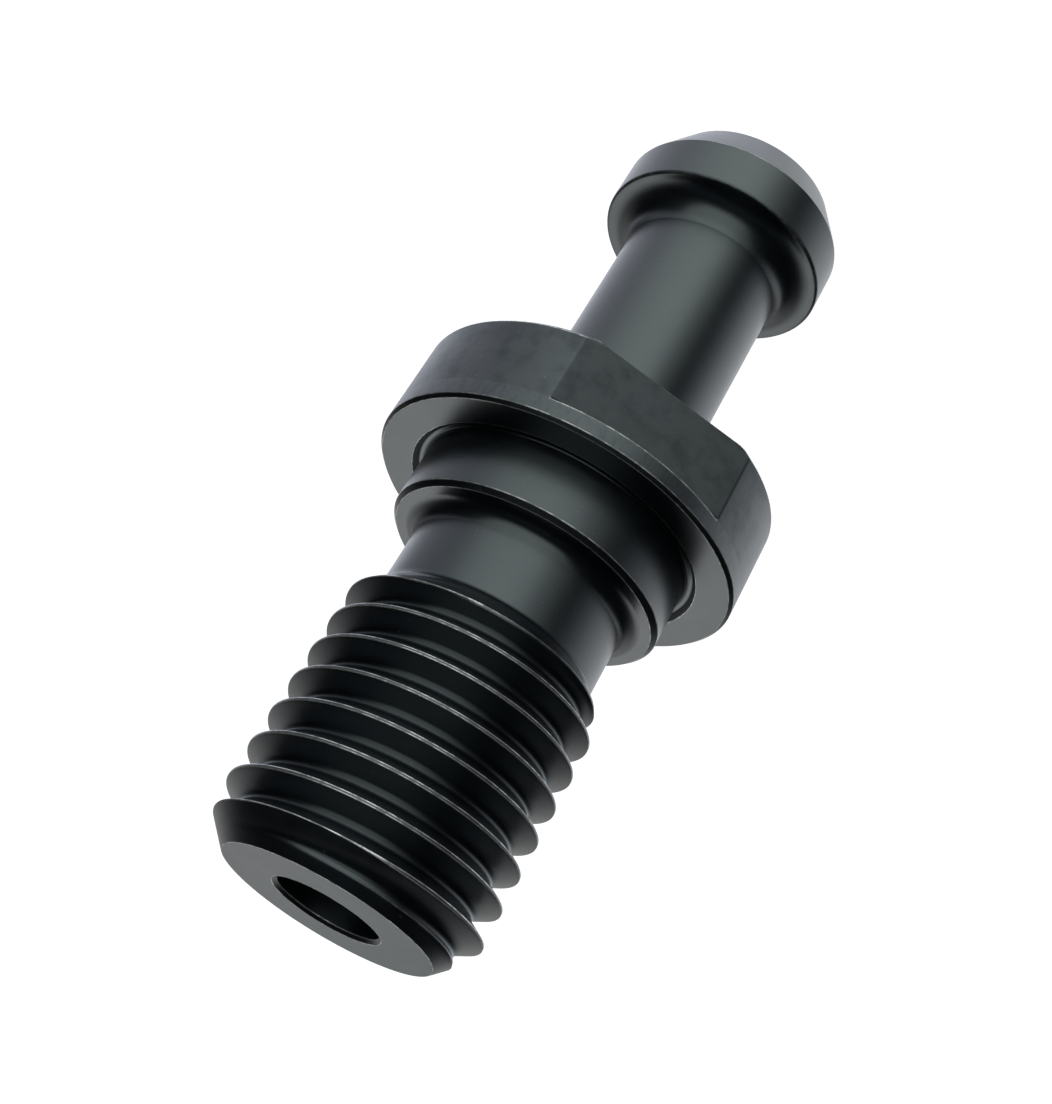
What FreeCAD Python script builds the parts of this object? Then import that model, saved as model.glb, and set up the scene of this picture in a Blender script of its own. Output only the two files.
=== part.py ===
import FreeCAD, Part
import math
import os
import Sketcher

# Pull stud: the knob that screws into the small end of a taper tool holder, so that the
# machine's drawbar can pull the holder into the spindle. It is turned from one bar, its
# flange has two milled flats for a spanner, and its shank carries a cut M16 x 2 thread.
#
# Frame: the origin is the centre of the seat face, the side of the flange that beds on the
# holder. +Z runs along the axis, out of the seat face to the threaded end, so the flat top
# of the head is the lowest face. The flats face +X and -X. All sizes are millimetres.

# alias, value, what it is
SIZES = [
    ("shank_length", 25.0, "seat face to the threaded end"),
    ("thread_dia", 15.8, "crests of the thread as cut"),
    ("thread_pitch", 2.0, "advance in one turn"),
    ("thread_root_dia", 13.5, "bottom of the thread groove"),
    ("flank_angle", 30.0, "thread flank, from a plane across the axis"),
    ("crest_width", 0.2, "land left between two turns of the groove"),
    ("thread_run_in", 2.15, "end of the relief floor back to the first turn of the cut"),
    ("start_chamfer", 1.7, "45 degree chamfer at the threaded end"),
    ("relief_dia", 13.2, "relief groove between pilot and thread"),
    ("relief_width", 4.65, "floor of the relief groove, its corner included"),
    ("relief_corner", 0.6, "bevel in the corner under the pilot"),
    ("pilot_dia", 17.0, "collar that centres the stud in the holder"),
    ("pilot_height", 3.75, "seat face to the pilot's threaded side"),
    ("pilot_chamfer", 0.3, "edge that leads the pilot in"),
    ("undercut_width", 0.75, "mouth of the ring cut round the pilot's foot"),
    ("undercut_depth", 0.3, "depth of that ring below the seat face"),
    ("flange_dia", 23.0, "flange"),
    ("flange_thickness", 6.0, "seat face to the flange's back"),
    ("seat_chamfer", 0.22, "flange rim on the seat side"),
    ("back_chamfer", 0.3, "flange rim on the head side"),
    ("flats_across", 20.0, "spanner size"),
    ("flats_lip", 1.2, "round rim left between the seat face and the flats"),
    ("neck_dia", 10.4, "neck"),
    ("neck_foot_corner", 0.8, "bevel from the neck to the flange"),
    ("neck_head_corner", 1.4, "bevel from the neck to the gripping face"),
    ("head_dia", 15.0, "head that the drawbar's fingers grip"),
    ("grip_reach", 23.0, "seat face to the gripping face under the head"),
    ("head_land", 3.1, "cylindrical band of the head"),
    ("head_reach", 29.0, "seat face to the top of the head"),
    ("head_top_dia", 11.7, "flat top of the head"),
    ("bore_dia", 6.0, "coolant bore through the whole stud"),
    ("bore_chamfer", 0.2, "mouths of the bore"),
    ("cut_margin", 0.2, "how far each cut runs out past the metal"),
]


class Size:
    """A length: its value now, and the sheet expression that keeps it up to date."""

    def __init__(self, value, text):
        self.value = value
        self.text = text

    def combine(self, other, sign, value):
        return Size(value, f"({self.text} {sign} {as_size(other).text})")

    def __add__(self, other):
        return self.combine(other, "+", self.value + as_size(other).value)

    def __sub__(self, other):
        return self.combine(other, "-", self.value - as_size(other).value)

    def __mul__(self, other):
        return self.combine(other, "*", self.value * as_size(other).value)

    def __truediv__(self, other):
        return self.combine(other, "/", self.value / as_size(other).value)

    def __neg__(self):
        return Size(-self.value, f"(-{self.text})")


def as_size(value):
    """A bare number becomes a Size, and a Size stays as it is."""
    return value if isinstance(value, Size) else Size(float(value), repr(float(value)))


def tangent(angle):
    """Tangent of an angle held in degrees."""
    return Size(math.tan(math.radians(angle.value)), f"tan({angle.text} * 1 deg)")


def make_sheet(doc):
    """Put the driving dimensions in a spreadsheet and return each as a Size."""
    sheet = doc.addObject("Spreadsheet::Sheet", "dims")
    for row, (alias, value, meaning) in enumerate(SIZES, start=1):
        sheet.set(f"A{row}", meaning)
        sheet.set(f"B{row}", str(value))
        sheet.setAlias(f"B{row}", alias)
    doc.recompute()
    return {alias: Size(value, f"dims.{alias}") for alias, value, _ in SIZES}


def add_sketch(body, plane_role, name):
    """An empty sketch on one of the body's own origin planes."""
    planes = {feature.Role: feature for feature in body.Origin.OriginFeatures}
    sketch = body.newObject("Sketcher::SketchObject", name)
    sketch.AttachmentSupport = [(planes[plane_role], "")]
    sketch.MapMode = "FlatFace"
    return sketch


def bind(sketch, constraint, name, length):
    """Add a dimension to the sketch and tie it to the sheet."""
    index = sketch.addConstraint(constraint)
    sketch.renameConstraint(index, name)
    sketch.setExpression(f"Constraints.{name}", length.text)


def fix_point(sketch, edge, end, name, point):
    """Hold one end of an edge at a pair of sizes measured from the sketch's origin."""
    x, y = point
    bind(sketch, Sketcher.Constraint("DistanceX", -1, 1, edge, end, x.value), f"{name}_x", x)
    bind(sketch, Sketcher.Constraint("DistanceY", -1, 1, edge, end, y.value), f"{name}_y", y)


def vector(point):
    return FreeCAD.Vector(point[0].value, point[1].value, 0)


def draw_outline(sketch, label, points):
    """Closed outline of straight edges, each corner held by its two sizes."""
    points = [(as_size(x), as_size(y)) for x, y in points]
    edges = []
    for start, end in zip(points, points[1:] + points[:1]):
        edges.append(sketch.addGeometry(Part.LineSegment(vector(start), vector(end)), False))
    for number, (edge, start) in enumerate(zip(edges, points)):
        following = edges[(number + 1) % len(edges)]
        sketch.addConstraint(Sketcher.Constraint("Coincident", edge, 2, following, 1))
        fix_point(sketch, edge, 1, f"{label}{number}", start)


def turn(body, kind, name, points):
    """Revolve an outline in the XZ plane about the axis, as added or removed metal."""
    sketch = add_sketch(body, "XZ_Plane", f"{name}_section")
    draw_outline(sketch, "corner", points)
    feature = body.newObject(kind, name)
    feature.Profile = sketch
    feature.ReferenceAxis = (sketch, ["V_Axis"])
    feature.Angle = 360
    body.Document.recompute()
    return feature


def rims(shape, circles):
    """Names of the circular edges that lie at the given radii and heights."""
    found = []
    for radius, height in circles:
        wanted = FreeCAD.Vector(0, radius.value, as_size(height).value)
        names = []
        for number, edge in enumerate(shape.Edges, start=1):
            curve = edge.Curve
            if isinstance(curve, Part.Circle):
                here = FreeCAD.Vector(0, curve.Radius, curve.Center.z)
                if here.distanceToPoint(wanted) < 1e-4:
                    names.append(f"Edge{number}")
        if not names:
            raise RuntimeError(f"no rim of radius {wanted.y} at height {wanted.z}")
        found.extend(names)
    return found


def dress(body, name, circles, length):
    """Chamfer the named rims of the body's last feature, or bevel them if they are corners."""
    base = body.Tip
    feature = body.newObject("PartDesign::Chamfer", name)
    feature.Base = (base, rims(base.Shape, circles))
    feature.setExpression("Size", length.text)
    body.Document.recompute()
    return feature


def turn_blank(body, size):
    """The bar turned to its outer steps, head first."""
    neck, head, flange = (size[name] / 2 for name in ("neck_dia", "head_dia", "flange_dia"))
    pilot, crest = size["pilot_dia"] / 2, size["thread_dia"] / 2
    turn(body, "PartDesign::Revolution", "blank", [
        (0, -size["head_reach"]),
        (size["head_top_dia"] / 2, -size["head_reach"]),
        (head, -(size["grip_reach"] + size["head_land"])),
        (head, -size["grip_reach"]),
        (neck, -size["grip_reach"]),
        (neck, -size["flange_thickness"]),
        (flange, -size["flange_thickness"]),
        (flange, 0),
        (pilot, 0),
        (pilot, size["pilot_height"]),
        (crest, size["pilot_height"]),
        (crest, size["shank_length"] - size["start_chamfer"]),
        (crest - size["start_chamfer"], size["shank_length"]),
        (0, size["shank_length"]),
    ])


def cut_relief(body, size):
    """Relief groove, with a 45 degree flank up to the last turn of the thread."""
    floor = size["relief_dia"] / 2
    outside = size["thread_dia"] / 2 + size["cut_margin"]
    floor_end = size["pilot_height"] + size["relief_width"]
    turn(body, "PartDesign::Groove", "relief", [
        (floor, size["pilot_height"]),
        (outside, size["pilot_height"]),
        (outside, floor_end + outside - floor),
        (floor, floor_end),
    ])


def cut_undercut(body, size):
    """Shallow ring in the seat face, so that the holder's edge clears the pilot's corner."""
    inner = size["pilot_dia"] / 2
    outer = inner + size["undercut_width"]
    depth = size["undercut_depth"]
    turn(body, "PartDesign::Groove", "undercut", [
        (inner, 0),
        (inner, -depth),
        (outer - depth, -depth),
        (outer, 0),
    ])


def dress_edges(body, size):
    """Bevelled inside corners, which keep the shank and neck strong, and broken outer edges."""
    pilot, flange, neck = (size[name] / 2 for name in ("pilot_dia", "flange_dia", "neck_dia"))
    back = -size["flange_thickness"]
    relief = (size["relief_dia"] / 2, size["pilot_height"])
    dress(body, "relief_corner", [relief], size["relief_corner"])
    dress(body, "neck_foot", [(neck, back)], size["neck_foot_corner"])
    dress(body, "neck_head", [(neck, -size["grip_reach"])], size["neck_head_corner"])
    dress(body, "pilot_lead", [(pilot, size["pilot_height"])], size["pilot_chamfer"])
    dress(body, "seat_rim", [(flange, 0)], size["seat_chamfer"])
    dress(body, "back_rim", [(flange, back)], size["back_chamfer"])


def mill_flats(body, size):
    """Two spanner flats, milled from the head side and stopped short of the seat face."""
    near = size["flats_across"] / 2
    far = size["flange_dia"] / 2 + size["cut_margin"]
    sketch = add_sketch(body, "XY_Plane", "flats_plan")
    sketch.setExpression("AttachmentOffset.Base.z", (-size["flats_lip"]).text)
    draw_outline(sketch, "front", [(near, -far), (far, -far), (far, far), (near, far)])
    draw_outline(sketch, "rear", [(-far, -far), (-near, -far), (-near, far), (-far, far)])
    pocket = body.newObject("PartDesign::Pocket", "flats")
    pocket.Profile = sketch
    pocket.setExpression("Length", size["flange_thickness"].text)
    body.Document.recompute()


def drill_bore(body, size):
    """Coolant bore from end to end, with both mouths broken."""
    radius = size["bore_dia"] / 2
    sketch = add_sketch(body, "XY_Plane", "bore_plan")
    sketch.setExpression("AttachmentOffset.Base.z", size["shank_length"].text)
    outline = Part.Circle(FreeCAD.Vector(), FreeCAD.Vector(0, 0, 1), radius.value)
    circle = sketch.addGeometry(outline)
    sketch.addConstraint(Sketcher.Constraint("Coincident", circle, 3, -1, 1))
    bind(sketch, Sketcher.Constraint("Radius", circle, radius.value), "radius", radius)
    pocket = body.newObject("PartDesign::Pocket", "bore")
    pocket.Profile = sketch
    pocket.Type = "ThroughAll"
    body.Document.recompute()
    mouths = [(radius, size["shank_length"]), (radius, -size["head_reach"])]
    dress(body, "bore_mouths", mouths, size["bore_chamfer"])


def cut_thread(body, size):
    """Right-hand thread: a groove of trapezoid section swept along a helix.

    The groove starts in the relief and runs out past the threaded end, so it fades into the
    relief's flank and into the start chamfer as a single-point tool leaves it.
    """
    crest, root = size["thread_dia"] / 2, size["thread_root_dia"] / 2
    slope = tangent(size["flank_angle"])
    middle = size["pilot_height"] + size["relief_width"] - size["thread_run_in"]
    half_mouth = (size["thread_pitch"] - size["crest_width"]) / 2
    half_root = half_mouth - (crest - root) * slope
    outside = crest + size["cut_margin"]
    half_outside = half_mouth + size["cut_margin"] * slope
    sketch = add_sketch(body, "XZ_Plane", "thread_section")
    draw_outline(sketch, "corner", [
        (root, middle - half_root),
        (outside, middle - half_outside),
        (outside, middle + half_outside),
        (root, middle + half_root),
    ])
    helix = body.newObject("PartDesign::SubtractiveHelix", "thread")
    helix.Profile = sketch
    helix.ReferenceAxis = (sketch, ["V_Axis"])
    helix.Mode = "pitch-height-angle"
    helix.setExpression("Pitch", size["thread_pitch"].text)
    travel = size["shank_length"] + size["thread_pitch"] - middle
    helix.setExpression("Height", travel.text)
    body.Document.recompute()


def check(doc, body):
    """Stop unless every object is up to date and each step changed the metal as it should."""
    for item in doc.Objects:
        if "Invalid" in item.State or "Error" in item.State:
            raise RuntimeError(f"{item.Name} failed: {item.State}")
    volume = 0.0
    for feature in body.Group:
        if feature.isDerivedFrom("Sketcher::SketchObject"):
            continue
        shape = feature.Shape
        if shape.isNull() or not shape.isValid() or len(shape.Solids) != 1:
            raise RuntimeError(f"{feature.Name} is not one valid solid")
        adds = feature.Name in ADDING
        if (shape.Volume > volume) != adds:
            raise RuntimeError(f"{feature.Name} changed the volume the wrong way")
        volume = shape.Volume


# The turned blank adds metal, and so does a bevel in an inside corner. The rest removes it.
ADDING = {"blank", "relief_corner", "neck_foot", "neck_head"}

doc = FreeCAD.newDocument("pull_stud")
size = make_sheet(doc)
body = doc.addObject("PartDesign::Body", "pull_stud")
body.Label = "pull_stud"
body.Placement = FreeCAD.Placement()
turn_blank(body, size)
cut_relief(body, size)
cut_undercut(body, size)
dress_edges(body, size)
mill_flats(body, size)
drill_bore(body, size)
cut_thread(body, size)
doc.recompute()
check(doc, body)

os.makedirs("parts", exist_ok=True)
body.Shape.exportStep(f"parts/{body.Label}.step")
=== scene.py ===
import bmesh
import bpy
import numpy as np
from mathutils import Matrix


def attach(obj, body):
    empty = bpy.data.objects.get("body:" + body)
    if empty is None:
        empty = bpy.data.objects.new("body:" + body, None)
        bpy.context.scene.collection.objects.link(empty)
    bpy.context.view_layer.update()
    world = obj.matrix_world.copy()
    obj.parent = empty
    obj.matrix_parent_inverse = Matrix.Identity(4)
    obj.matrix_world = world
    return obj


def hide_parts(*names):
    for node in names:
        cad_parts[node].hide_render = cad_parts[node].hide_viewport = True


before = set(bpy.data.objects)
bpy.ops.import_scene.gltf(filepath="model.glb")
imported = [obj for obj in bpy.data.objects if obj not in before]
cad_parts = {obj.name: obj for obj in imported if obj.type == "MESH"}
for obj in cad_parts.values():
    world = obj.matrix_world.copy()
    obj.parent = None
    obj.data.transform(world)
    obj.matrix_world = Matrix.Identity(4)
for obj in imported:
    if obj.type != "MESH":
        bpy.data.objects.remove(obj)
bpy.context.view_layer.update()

# ------------------------------------------------------------------ the stud
# One bar of alloy steel, turned to a threaded shank, a pilot collar, a flange, a neck and a
# head, with two flats milled on the flange and a coolant bore drilled through. The edges are
# broken by hand and the inside corners keep the radius of the turning tool.

MM = 0.001


def rounded(corners, radii, arc_rows=6, margin=0.05):
    """Turned outline with an arc of the given radius in place of each inner corner.

    An arc of radius q touches both runs at q / tan(half the corner's angle) from the corner,
    and its centre is q / sin(half the angle) along the line that halves the corner. Its points
    turn evenly from one touching point to the other. One more point on each run, a margin
    further out, keeps the shading of the runs flat. Returns rows of (radius, height).
    """
    corners, q = np.asarray(corners, float), np.asarray(radii, float)[:, None]
    here = corners[1:-1]
    back, ahead = corners[:-2] - here, corners[2:] - here
    back /= np.linalg.norm(back, axis=1, keepdims=True)
    ahead /= np.linalg.norm(ahead, axis=1, keepdims=True)
    half = np.arccos(np.clip((back * ahead).sum(1, keepdims=True), -1, 1)) / 2
    touch = q / np.tan(half)
    middle = back + ahead
    centre = here + middle / np.linalg.norm(middle, axis=1, keepdims=True) * q / np.sin(half)
    start, end = here + back * touch - centre, here + ahead * touch - centre
    sweep = (np.pi - 2 * half)[:, None]
    w = np.linspace(0, 1, arc_rows)[None, :, None]
    arc = centre[:, None] + (np.sin((1 - w) * sweep) * start[:, None]
                             + np.sin(w * sweep) * end[:, None]) / np.sin(sweep)
    before = (here + back * (touch + margin))[:, None]
    after = (here + ahead * (touch + margin))[:, None]
    bends = np.concatenate([before, arc, after], axis=1).reshape(-1, 2)
    return np.vstack([corners[:1], bends, corners[-1:]])


def soft_min(a, b, width):
    """The smaller of a and b, with a parabola of the given width where they cross."""
    share = np.clip(0.5 + 0.5 * (b - a) / width, 0, 1)
    return b + (a - b) * share - width * share * (1 - share)


# Sizes in millimetres from the centre of the seat face: radius, then height.
END_Z, SHANK_R, PITCH = 25.0, 7.9, 2.0
RELIEF_R, RELIEF_END = 6.6, 8.4
START_CHAMFER = 1.7
FLANGE_R, FLAT_X, LIP_Z, BACK_Z = 11.5, 10.0, -1.2, -6.0
THREAD_TOP, THREAD_FOOT = 24.85, 7.9
BORE_R, NECK_R, HEAD_R, HEAD_TOP_R, HEAD_END = 3.0, 5.2, 7.5, 5.85, -29.0
LAND_TOP, LAND_END, COLLAR_R, COLLAR_TOP, SEAT_R = -26.1, -23.0, 8.5, 3.75, 11.28
BORE_BEVEL, FLANGE_BEVEL, COLLAR_BEVEL, UNDERCUT_R = 0.2, 0.3, 0.3, 9.25

# Rows of the turned outline from the threaded end's bevel, down the bore, and up the outside
# as far as the flange, then from the flange's rim to the relief groove.
below_lip = rounded(
    [(SHANK_R - START_CHAMFER + END_Z - THREAD_TOP, THREAD_TOP),
     (SHANK_R - START_CHAMFER, END_Z), (BORE_R + BORE_BEVEL, END_Z),
     (BORE_R, END_Z - BORE_BEVEL), (BORE_R, HEAD_END + BORE_BEVEL),
     (BORE_R + BORE_BEVEL, HEAD_END), (HEAD_TOP_R, HEAD_END), (HEAD_R, LAND_TOP),
     (HEAD_R, LAND_END), (NECK_R, LAND_END), (NECK_R, BACK_Z),
     (FLANGE_R - FLANGE_BEVEL, BACK_Z), (FLANGE_R, BACK_Z + FLANGE_BEVEL),
     (FLANGE_R, LIP_Z - 0.4)],
    [0.1, 0.03, 0.03, 0.03, 0.03, 0.1, 0.12, 0.2, 1.7, 1.2, 0.05, 0.1])
above_lip = rounded(
    [(FLANGE_R, LIP_Z + 0.2), (FLANGE_R, SEAT_R - FLANGE_R), (SEAT_R, 0), (UNDERCUT_R, 0),
     (UNDERCUT_R - 0.3, -0.3), (COLLAR_R, -0.3), (COLLAR_R, COLLAR_TOP - COLLAR_BEVEL),
     (COLLAR_R - COLLAR_BEVEL, COLLAR_TOP), (RELIEF_R, COLLAR_TOP), (RELIEF_R, THREAD_FOOT)],
    [0.12, 0.06, 0.03, 0.04, 0.2, 0.12, 0.08, 0.9])

# The lip between the seat face and the flats: the cutter leaves a small radius at its foot,
# and its upper edge is broken. drop is how far below the lip each row lies, and left is the
# metal that the cutter's corner leaves on the flat there.
FOOT_R, LIP_EDGE = 0.15, 0.05
drop = FOOT_R * np.array([1.6, 1.0, 0.7, 0.45, 0.25, 0.1, 0.0])
left = FOOT_R - np.sqrt(FOOT_R**2 - np.clip(FOOT_R - drop, 0, None) ** 2)
turned = np.linspace(0, np.pi / 2, 5)
lip_rows = np.column_stack([np.full(12, FLANGE_R), np.concatenate(
    [LIP_Z - drop, LIP_Z + LIP_EDGE * (1 - np.cos(turned))])])
milled_depth = np.concatenate([np.full(len(below_lip) + 7, 9.0),
                               LIP_EDGE * (1 - np.sin(turned)), np.zeros(len(above_lip))])
left_on_flat = np.concatenate([np.where(below_lip[:, 1] <= BACK_Z, -0.04, 0.0), left,
                               np.zeros(5 + len(above_lip))])
rows = np.vstack([below_lip, lip_rows, above_lip])

# Columns run round the axis, closer together at the four upright edges of the flats.
flat_edge = np.degrees(np.arccos(FLAT_X / FLANGE_R))
edge_columns = (np.array([flat_edge, 180 - flat_edge, 180 + flat_edge, 360 - flat_edge])[:, None]
                + np.array([-0.6, -0.3, -0.12, 0, 0.12, 0.3, 0.6])).ravel()
even_columns = np.arange(0, 360, 2.0)
NEAREST = 0.7
crowded = np.abs(even_columns[:, None] - edge_columns).min(axis=1) < NEAREST
angle = np.radians(np.sort(np.concatenate([even_columns[~crowded], edge_columns])))


def turned_skin(rows, angle):
    """Rows carried round the axis, with the flats cut where they lie inside the round side.

    A flat at distance d from the axis has radius d / |cos(angle)|. The side keeps the smaller
    radius, but is never cut deeper than the row's milled depth.
    """
    round_side = np.repeat(rows[:, :1], len(angle), axis=1)
    flat = FLAT_X / np.maximum(np.abs(np.cos(angle)), 0.1)[None, :] + left_on_flat[:, None]
    floor = np.maximum(flat, round_side - milled_depth[:, None])
    radius = soft_min(round_side, floor, np.where(milled_depth > 1, 0.05, 1e-6)[:, None])
    height = np.repeat(rows[:, 1:], len(angle), axis=1)
    return radius, height


# The thread is cut by a single point: 60 degrees between its flanks, with a round root, and
# crests that the cutting has left a little rounded. across is the distance along the axis
# from the middle of the groove, and GROOVE_Z is where that middle lies at angle 0.
GROOVE_Z, HALF_MOUTH, ROOT_R, SLOPE = 0.25, 0.91, 6.75, np.tan(np.radians(30))
root_half = HALF_MOUTH - (SHANK_R - ROOT_R) * SLOPE
root_round = root_half / SLOPE
root_touch = root_round * np.cos(np.radians(30))
one_side = np.array([0.0, 0.08, 0.16, 0.22, 0.3, 0.45, 0.62, 0.8, 0.86, 0.89, 0.91, 0.93, 0.96])
across = np.concatenate([one_side, 1.0 + 0 * one_side[:1], PITCH - one_side[:0:-1]])
turns = np.arange(2, 14)
along = (GROOVE_Z + PITCH * turns[:, None] + across[None, :]).ravel()


def thread_skin(along, angle):
    """Rows that climb one pitch each turn, held between the relief and the start bevel.

    A row's height is its height at angle 0 plus the pitch times the part of a turn. The radius
    is the smallest of the plain shank, the 45 degree flank up from the relief, the start bevel
    and the groove. The groove's root is an arc, root_r + q - sqrt(q^2 - across^2), and its
    flanks rise from it by 1 / tan(30 degrees) for each millimetre across.
    """
    climb = PITCH * angle[None, :] / (2 * np.pi)
    height = np.clip(along[:, None] + climb, THREAD_FOOT, THREAD_TOP)
    off = np.abs((height - climb - GROOVE_Z + PITCH / 2) % PITCH - PITCH / 2)
    root = ROOT_R + root_round - np.sqrt(np.clip(root_round**2 - off**2, 0, None))
    flank = SHANK_R - (HALF_MOUTH - off) / SLOPE
    groove = np.where(off < root_touch, root, flank)
    bevel = END_Z - START_CHAMFER + SHANK_R - height
    rise = -soft_min(-RELIEF_R + 0 * height, -(RELIEF_R + height - RELIEF_END), 0.12)
    shank = soft_min(soft_min(SHANK_R + 0 * height, bevel, 0.04), rise, 0.04)
    return soft_min(shank, np.maximum(groove, ROOT_R), 0.07), height


def band_faces(first, row_count, column_count, seam_shift=0):
    """Four-cornered faces between neighbouring rows and columns, closed round the axis.

    Where the columns close, the next column is the first one again, seam_shift rows on.
    """
    row = np.arange(row_count - 1)[:, None] + np.array([0, 0, 1, 1])
    column = np.arange(column_count)[:, None] + np.array([0, 1, 1, 0])
    row = row[:, None, :] + np.where(column == column_count, seam_shift, 0)[None, :, :]
    corner = np.clip(row, 0, row_count - 1) * column_count + (column % column_count)[None]
    return first + corner.reshape(-1, 4)


def build_piece(name, radius_height_angle, faces):
    """Mesh object from stacked (radius, height, angle) in millimetres and four-cornered faces."""
    radius, height, around = radius_height_angle
    points = np.column_stack([radius * np.cos(around), radius * np.sin(around), height]) * MM
    mesh = bpy.data.meshes.new(name)
    mesh.from_pydata(points, [], faces)
    piece = bpy.data.objects.new(name, mesh)
    bpy.context.collection.objects.link(piece)
    return piece


turned_r, turned_z = turned_skin(rows, angle)
thread_r, thread_z = thread_skin(along, angle)
every_angle = np.tile(angle, len(rows) + len(along))
stud = build_piece(
    "stud",
    (np.concatenate([turned_r.ravel(), thread_r.ravel()]),
     np.concatenate([turned_z.ravel(), thread_z.ravel()]), every_angle),
    np.vstack([band_faces(0, len(rows), len(angle)),
               band_faces(len(rows) * len(angle), len(along), len(angle), len(across))]))

# The rows held at the relief and at the start bevel meet their neighbours there, and the merge
# closes the skin along them.
MERGE = 0.0005 * MM
form = bmesh.new()
form.from_mesh(stud.data)
bmesh.ops.remove_doubles(form, verts=form.verts, dist=MERGE)
bmesh.ops.recalc_face_normals(form, faces=form.faces)
form.to_mesh(stud.data)
form.free()
stud.data.shade_smooth()
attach(stud, "root")
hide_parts("pull_stud")


class Wire:
    """One output in a node tree. Arithmetic on it adds Math nodes to the same tree."""

    def __init__(self, tree, socket=None):
        self.tree, self.socket = tree, socket

    def node(self, kind, settings, inputs, output=0):
        """New node: its settings are set first, then its sockets get values or wires."""
        made = self.tree.nodes.new("ShaderNode" + kind)
        for key, value in settings.items():
            if key == "stops":
                while len(made.color_ramp.elements) < len(value):
                    made.color_ramp.elements.new(0.5)
                for element, (position, shade) in zip(made.color_ramp.elements, value):
                    element.position, element.color = position, (*shade, 1)
            else:
                setattr(made, key, value)
        for key, value in inputs.items():
            if isinstance(value, Wire):
                self.tree.links.new(value.socket, made.inputs[key])
            else:
                made.inputs[key].default_value = value
        return None if output is None else Wire(self.tree, made.outputs[output])

    def math(self, operation, *values):
        return self.node("Math", {"operation": operation}, dict(enumerate(values)))

    def __add__(self, other):
        return self.math("ADD", self, other)

    def __sub__(self, other):
        return self.math("SUBTRACT", self, other)

    def __rsub__(self, other):
        return self.math("SUBTRACT", other, self)

    def __mul__(self, other):
        return self.math("MULTIPLY", self, other)

    def __truediv__(self, other):
        return self.math("DIVIDE", self, other)

    __radd__, __rmul__ = __add__, __mul__

    def between(self, low, high):
        """0 below low and 1 above high, with a smooth rise from one to the other."""
        return self.node("MapRange", {"interpolation_type": "SMOOTHSTEP"},
                         {"Value": self, "From Min": low, "From Max": high})


# How sharply the skin turns at each vertex: over its edges, the mean of the change of normal
# along the edge divided by the edge's length, as a share of SHARP turns of one radian to the
# millimetre. Convex edges, where the coat rubs off, are positive. Inside corners and thread
# roots are negative, and there the coat gets painted shade further down.
SHARP = 6
edge = np.empty((len(stud.data.edges), 2), np.int64)
stud.data.edges.foreach_get("vertices", edge.ravel())
point = np.empty((len(stud.data.vertices), 3))
stud.data.vertices.foreach_get("co", point.ravel())
normal = np.empty((len(stud.data.vertices), 3), np.float32)
stud.data.vertex_normals.foreach_get("vector", normal.ravel())
step = (point[edge[:, 1]] - point[edge[:, 0]]) / MM
bend = ((normal[edge[:, 1]] - normal[edge[:, 0]]) * step).sum(1) / (step**2).sum(1)
mean_bend = np.bincount(edge.ravel(), np.repeat(bend, 2)) / np.bincount(edge.ravel())
rubbed = stud.data.attributes.new("rubbed", "FLOAT", "POINT")
rubbed.data.foreach_set("value", np.clip(mean_bend / SHARP, -1, 1).astype(np.float32))

# Black oxide: a thin dark conversion coat over turned steel, rubbed with oil. It reflects
# like a dark varnish, keeps the fine rings of the turning tool, and is mottled where the
# bath and the oil dried unevenly.
BLACK, FADED = (0.0008, 0.0015, 0.0028, 1), (0.006, 0.008, 0.011, 1)
DUST, BARE_STEEL = (0.22, 0.22, 0.2, 1), (0.55, 0.55, 0.54, 1)
OIL_IOR, OIL_TINT = 1.75, (0.86, 0.97, 1.0, 1.0)
oxide = bpy.data.materials.new("black_oxide")
oxide.use_nodes = True
oxide.node_tree.nodes.clear()
coat = Wire(oxide.node_tree)
place = coat.node("TexCoord", {}, {}, "Object")
place = coat.node("VectorMath", {"operation": "SCALE"}, {0: place, "Scale": 1 / MM}, "Vector")
x, y, z = (coat.node("SeparateXYZ", {}, {0: place}, axis) for axis in "XYZ")
radius = coat.math("SQRT", x * x + y * y)
around = coat.math("ARCTAN2", y, x)


def noise(vector, scale, detail=3.0, rough=0.5):
    """Cloudy pattern from 0 to 1, with scale lumps to the unit of its vector."""
    return coat.node("TexNoise", {}, {"Vector": vector, "Scale": scale, "Detail": detail,
                                      "Roughness": rough})


def at(first, second, third):
    """Vector of three numbers, for a pattern that is stretched or follows the turning."""
    return coat.node("CombineXYZ", {}, {0: first, 1: second, 2: third})


def mix(share, first, second):
    """Blend of two colours: the first where share is 0 and the second where it is 1."""
    return coat.node("Mix", {"data_type": "RGBA"}, {0: share, 6: first, 7: second}, 2)


# Patterns. lay is the way the tool went, along the axis and in or out on the end faces.
lay = z + radius * 1.37
rings = noise(at(x / radius * 0.5, y / radius * 0.5, lay * 9.0), 1.0)
streaks = noise(at(x * 1.2, y * 1.2, lay * 14.0), 1.0, 4.0)
scuffs = noise(at(around * 26.0, z * 1.1, 1.0), 1.0, 4.0, 0.6)
cloud = noise(place, 0.35, 4.0, 0.6)
blotch = noise(place, 0.7, 5.0, 0.6)
mottle = noise(place, 1.6, 5.0, 0.65)
specks = noise(place, 6.0, 1.0)
grain = noise(place, 9.0, 3.0)

# Places: the flange's outer side, its flats and its round parts, and the threaded end's face.
flange = radius.between(9.9, 10.0) * z.between(-6.1, -5.9) * (1.0 - z.between(-0.2, -0.1))
near_flats = 1.0 - coat.math("ABSOLUTE", x).between(10.0, 10.1)
on_flat = near_flats * (1.0 - z.between(-1.25, LIP_Z))
flat_part = on_flat * flange
round_part = flange * (1.0 - on_flat)
end_face = z.between(24.94, 24.99)

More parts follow.
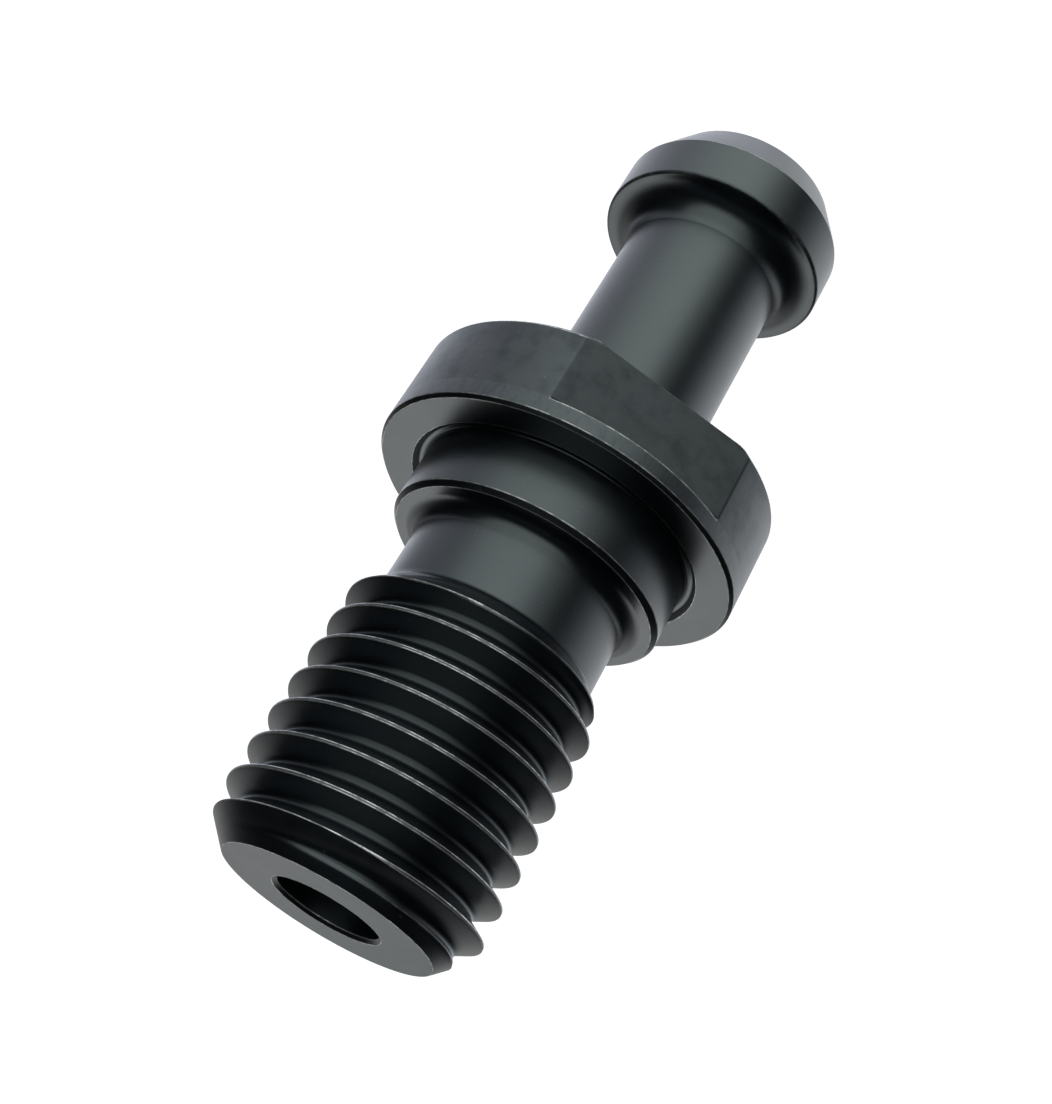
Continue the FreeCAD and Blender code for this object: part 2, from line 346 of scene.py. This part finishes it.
dust = specks.between(0.72, 0.78) * grain.between(0.5, 0.7)
rub_and_shade = coat.node("Attribute", {"attribute_name": "rubbed"}, {}, "Fac")
worn = rub_and_shade.between(0.3, 0.9) * (0.35 + 0.65 * mottle.between(0.4, 0.6))
# Painted shade: inside corners and thread roots reflect less, as if in shade, through a larger
# metallic share over the black base.
painted_shade_hollow = (0.0 - rub_and_shade).between(0.05, 0.2)
# The metallic share over the dark base dims the reflection: real stains on the flange's round
# side and flats, painted shade in the hollows and on the end face.
stains_and_shade = round_part * (1.0 - scuffs.between(0.3, 0.55)) * 0.16
stains_and_shade = stains_and_shade + flat_part * (0.1 + 0.3 * blotch.between(0.4, 0.75))
# Adds the painted shade of the hollows, and on the threaded end's face a dimmer reflection with
# painted shade deepening steadily towards -y.
stains_and_shade = stains_and_shade + painted_shade_hollow * 0.5 + end_face * (0.22 - 0.03 * y)
metal = coat.math("MINIMUM", stains_and_shade + worn, 1.0)
faded = 0.6 * cloud.between(0.4, 0.75) + round_part * scuffs.between(0.42, 0.62)
base = mix(coat.math("MINIMUM", faded, 1.0), BLACK, FADED)
base = mix(dust * 0.6, base, DUST)
base = mix(worn, base, BARE_STEEL)
roughness = 0.22 + 0.08 * cloud + 0.05 * mottle + 0.05 * streaks + 0.06 * flange + 0.1 * end_face
surface_height = rings * 0.5 + mottle * 0.7 + grain * 0.3 + scuffs * round_part * 2.0
bump = coat.node("Bump", {}, {"Strength": 0.7, "Distance": 0.004 * MM, "Height": surface_height})
skin = coat.node("BsdfPrincipled", {}, {
    "Base Color": base, "Roughness": roughness, "Metallic": metal, "Normal": bump,
    "IOR": OIL_IOR, "Specular Tint": OIL_TINT})
coat.node("OutputMaterial", {}, {"Surface": skin}, None)
stud.data.materials.append(oxide)

# ------------------------------------------------------------------ the floor
# A white sweep that the stud stands on, head down. It is level under the stud and runs on
# past the view on every side.
FLOOR_Z, FLOOR_HALF = HEAD_END * MM, 3.0
WHITE, PAPER, GLOW = (1, 1, 1, 1), (0.8, 0.79, 0.81, 1), 0.93
sweep = bpy.data.meshes.new("floor")
corners = FLOOR_HALF * np.array([(-1, -1), (1, -1), (1, 1), (-1, 1)])
sweep.from_pydata(np.column_stack([corners, np.full(4, FLOOR_Z)]), [], [(0, 1, 2, 3)])
floor = bpy.data.objects.new("floor", sweep)
bpy.context.collection.objects.link(floor)
floor.visible_glossy = False
floor.visible_shadow = False
paper = bpy.data.materials.new("white_paper")
paper.use_nodes = True
paper.node_tree.nodes.clear()
sheet = Wire(paper.node_tree)
matt = sheet.node("BsdfDiffuse", {}, {"Color": PAPER}, "BSDF")
glow = sheet.node("Emission", {}, {"Color": WHITE, "Strength": GLOW})
bright = sheet.node("AddShader", {}, {0: matt, 1: glow})
seen = sheet.node("LightPath", {}, {}, "Is Camera Ray")
surface = sheet.node("MixShader", {}, {0: seen, 1: matt, 2: bright})
sheet.node("OutputMaterial", {}, {"Surface": surface}, None)
sweep.materials.append(paper)

# ------------------------------------------------------------------ the light
# A white room with soft light from all round, dark overhead. A brighter panel on the viewer's
# side, a dark flag beside it and a soft lamp high on the far side shape the reflections on
# the black stud.
studio = bpy.data.worlds.new("studio")
bpy.context.scene.world = studio
studio.use_nodes = True
studio.node_tree.nodes.clear()
room = Wire(studio.node_tree)
toward = room.node("TexCoord", {}, {}, "Generated")
east, north, upward = (room.node("SeparateXYZ", {}, {0: toward}, axis) for axis in "XYZ")
turn_share = room.math("ARCTAN2", north, east) / (2 * np.pi) + 0.5


def facing(azimuth, elevation):
    """Cosine of the angle between a direction and the given one, in degrees."""
    a, e = np.radians(azimuth), np.radians(elevation)
    middle = (np.cos(a) * np.cos(e), np.sin(a) * np.cos(e), np.sin(e))
    return room.node("VectorMath", {"operation": "DOT_PRODUCT"}, {0: toward, 1: middle}, "Value")


def cone(degrees):
    """Cosine of an angle in degrees, to compare with what facing gives."""
    return float(np.cos(np.radians(degrees)))


def sector(middle, inside, outside):
    """1 up to inside from the middle and 0 beyond outside, all in shares of a full turn."""
    return 1.0 - room.math("ABSOLUTE", turn_share - middle).between(inside, outside)


# The lower half: azimuth in degrees, level, and tint. A ramp can't hold more than 1, so the
# levels are divided by the brightest one that it may hold and multiplied by it afterwards.
SLATE, GREEN, COOL = (0.97, 0.99, 1.1), (0.97, 1.02, 0.99), (0.98, 1.0, 1.04)
AROUND = [(-180, 1.05, SLATE), (-150, 1.1, COOL), (-105, 1.2, COOL), (-84, 0.95, COOL),
          (-64, 0.4, COOL), (-46, 0.06, COOL), (-34, 0.12, GREEN), (-12, 0.75, GREEN),
          (2, 1.65, GREEN), (22, 1.9, GREEN), (46, 1.65, GREEN), (66, 1.4, GREEN),
          (88, 0.9, SLATE), (110, 0.9, SLATE), (140, 1.05, SLATE), (165, 1.3, SLATE)]
BRIGHTEST = 2.2
stops = [((a + 180) / 360, tuple(c * v / BRIGHTEST for c in tint)) for a, v, tint in AROUND]
low = room.node("ValToRGB", {"stops": stops}, {0: turn_share})
panel = sector(0.568, 0.08, 0.15)
dim = BRIGHTEST * (1.0 - 0.5 * sector(0.79, 0.07, 0.14) * upward.between(-0.47, -0.39))
dim = dim * (1.0 - 0.3 * panel * upward.between(-0.4, -0.1))
low = room.node("VectorMath", {"operation": "SCALE"}, {0: low, "Scale": dim}, "Vector")

# The upper half: nearly dark, with the far side lit low down and the soft lamp above that.
FAR_SIDE, OVERHEAD = 191, 0.012
far_lamp = facing(FAR_SIDE, 41).between(cone(24), cone(12))
high = OVERHEAD + 0.55 * facing(FAR_SIDE, 8).between(cone(50), cone(5)) + 1.2 * far_lamp
high = room.node("CombineXYZ", {}, {0: high, 1: high, 2: high})
share = 1.0 - (upward - panel * 0.9).between(-0.3, -0.1)
level = room.node("Mix", {"data_type": "VECTOR"}, {0: share, 4: high, 5: low}, 1)
seen = room.node("LightPath", {}, {}, "Is Camera Ray")
level = room.node("Mix", {"data_type": "VECTOR"}, {0: seen, 4: level, 5: (1, 1, 1)}, 1)
sky = room.node("Background", {}, {"Color": level, "Strength": 1.0})
room.node("OutputWorld", {}, {"Surface": sky}, None)

# ------------------------------------------------------------------ the camera
# Looks down on the threaded end from one side, rolled so that the stud lies across the view.
# The focal length is given as a share of the height of the view.
SENSOR, FOCAL_SHARE = 36.0, 1584.32 / 1104
CAMERA_AT = (0.0812686, 0.0161653, 0.0417125)
camera_data = bpy.data.cameras.new("camera")
camera = bpy.data.objects.new("camera", camera_data)
bpy.context.collection.objects.link(camera)
right = np.array([0.39053, -0.80058, -0.45448])
up = np.array([0.33930, 0.58411, -0.73736])
back = np.cross(right, up)
turn = Matrix(np.column_stack([right, up, back]).tolist()).to_4x4()
camera.matrix_world = Matrix.Translation(CAMERA_AT) @ turn
camera_data.sensor_width = SENSOR
camera_data.lens = FOCAL_SHARE * SENSOR
camera_data.shift_x = -0.01938
camera_data.shift_y = -0.11743
camera_data.clip_start = 0.005
bpy.context.scene.camera = camera
bpy.context.scene.view_settings.view_transform = "Standard"
